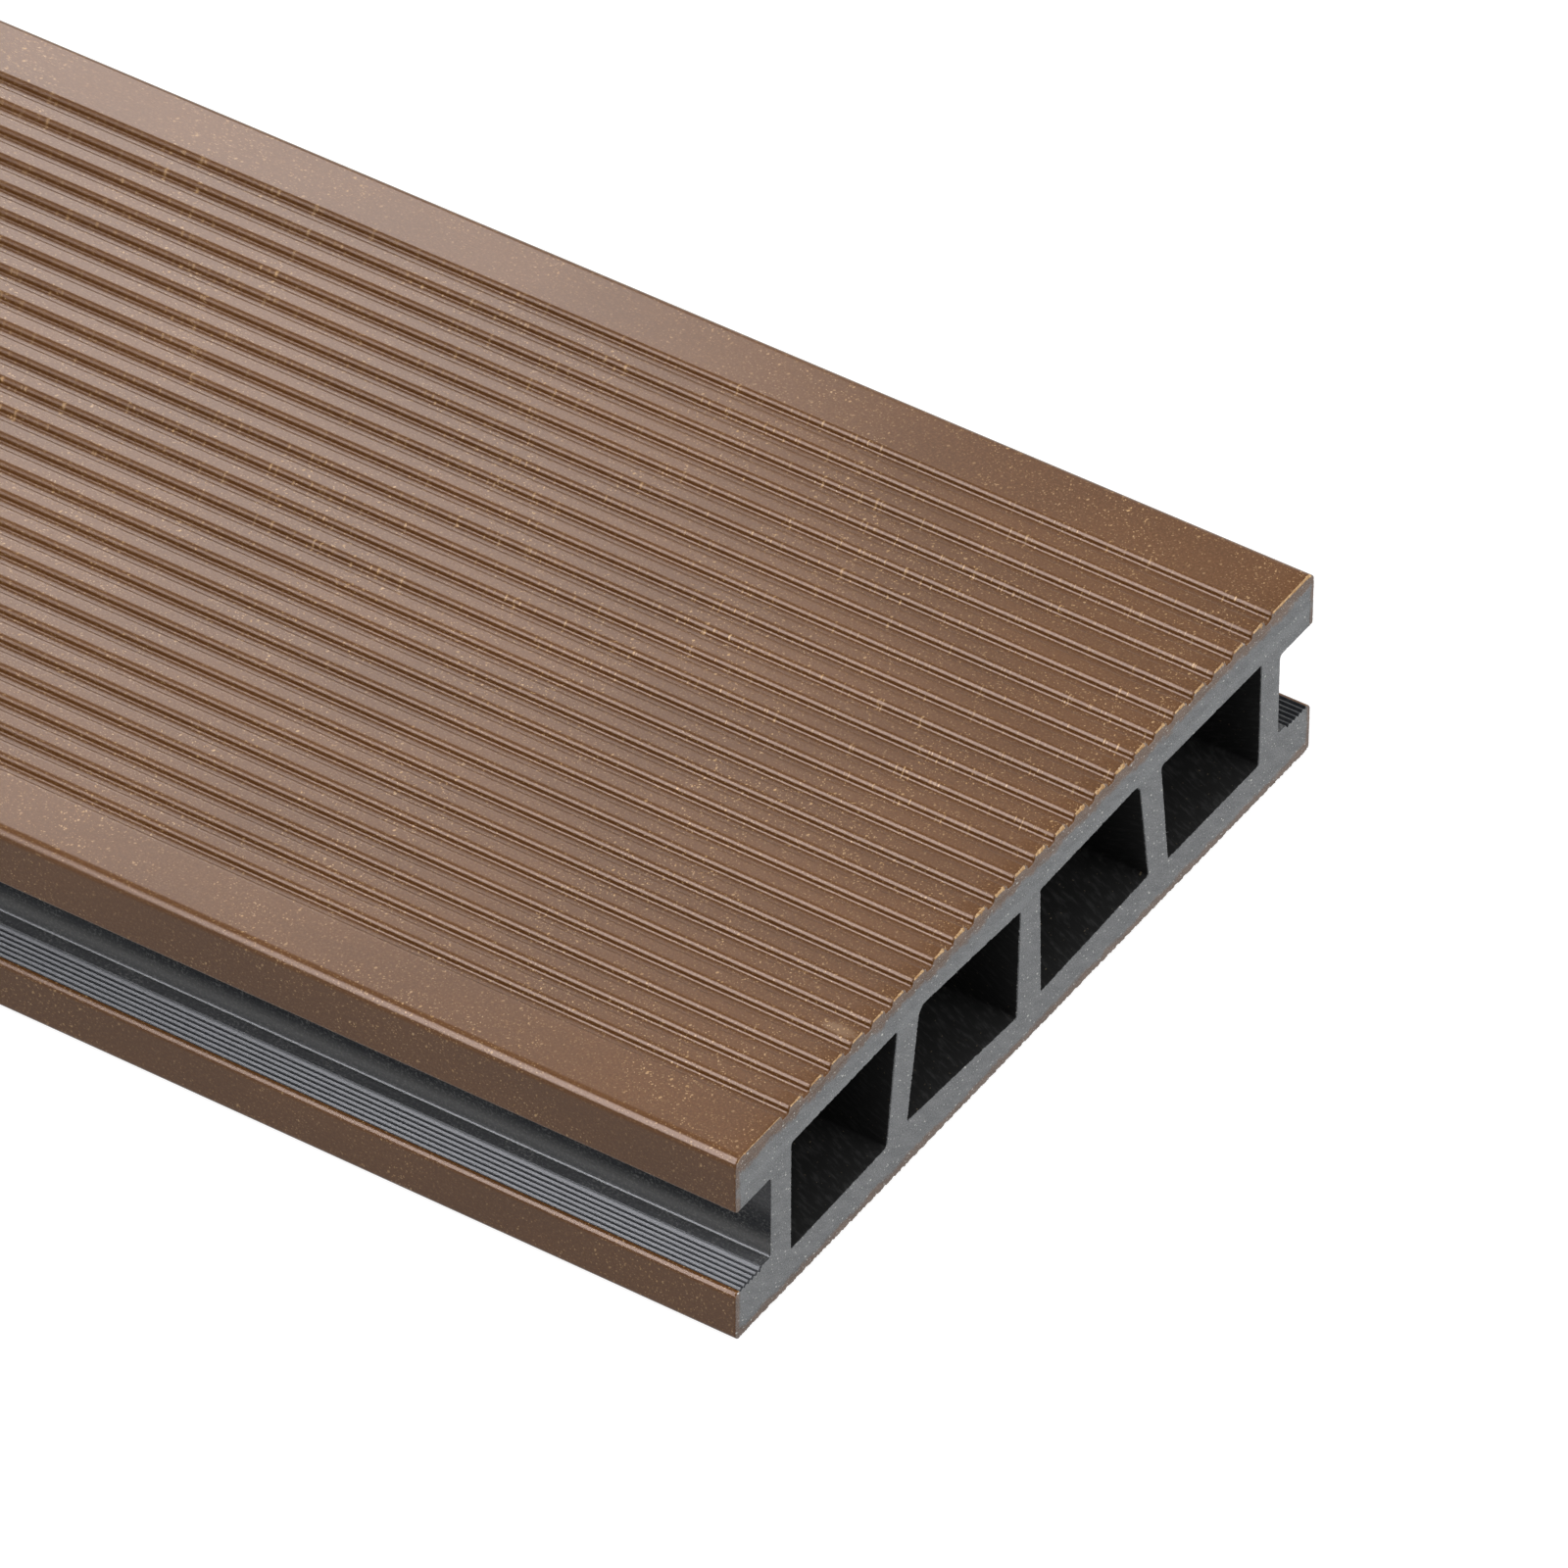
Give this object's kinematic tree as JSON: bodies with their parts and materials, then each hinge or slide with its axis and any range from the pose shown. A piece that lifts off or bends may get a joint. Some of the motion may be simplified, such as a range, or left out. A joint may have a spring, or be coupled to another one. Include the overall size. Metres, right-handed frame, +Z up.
{
  "type": "decking board",
  "caption": "Hollow wood-plastic composite decking board with a grooved brown cap, a dark chambered core and a clip groove along each edge.",
  "frame": {"origin": "middle of the underside, at the level that the board rests on", "axes": "+X along the board towards the sawn end that the picture shows, +Y across its width, +Z up through the grooved walking face"},
  "size_m": [2.4, 0.14, 0.0315],
  "materials": {
    "composite_core": "satin",
    "brown_cap": "satin"
  },
  "bodies": {
    "root": {"core": "composite_core", "cap_top": "brown_cap", "cap_underside": "brown_cap"}
  },
  "joints": []
}
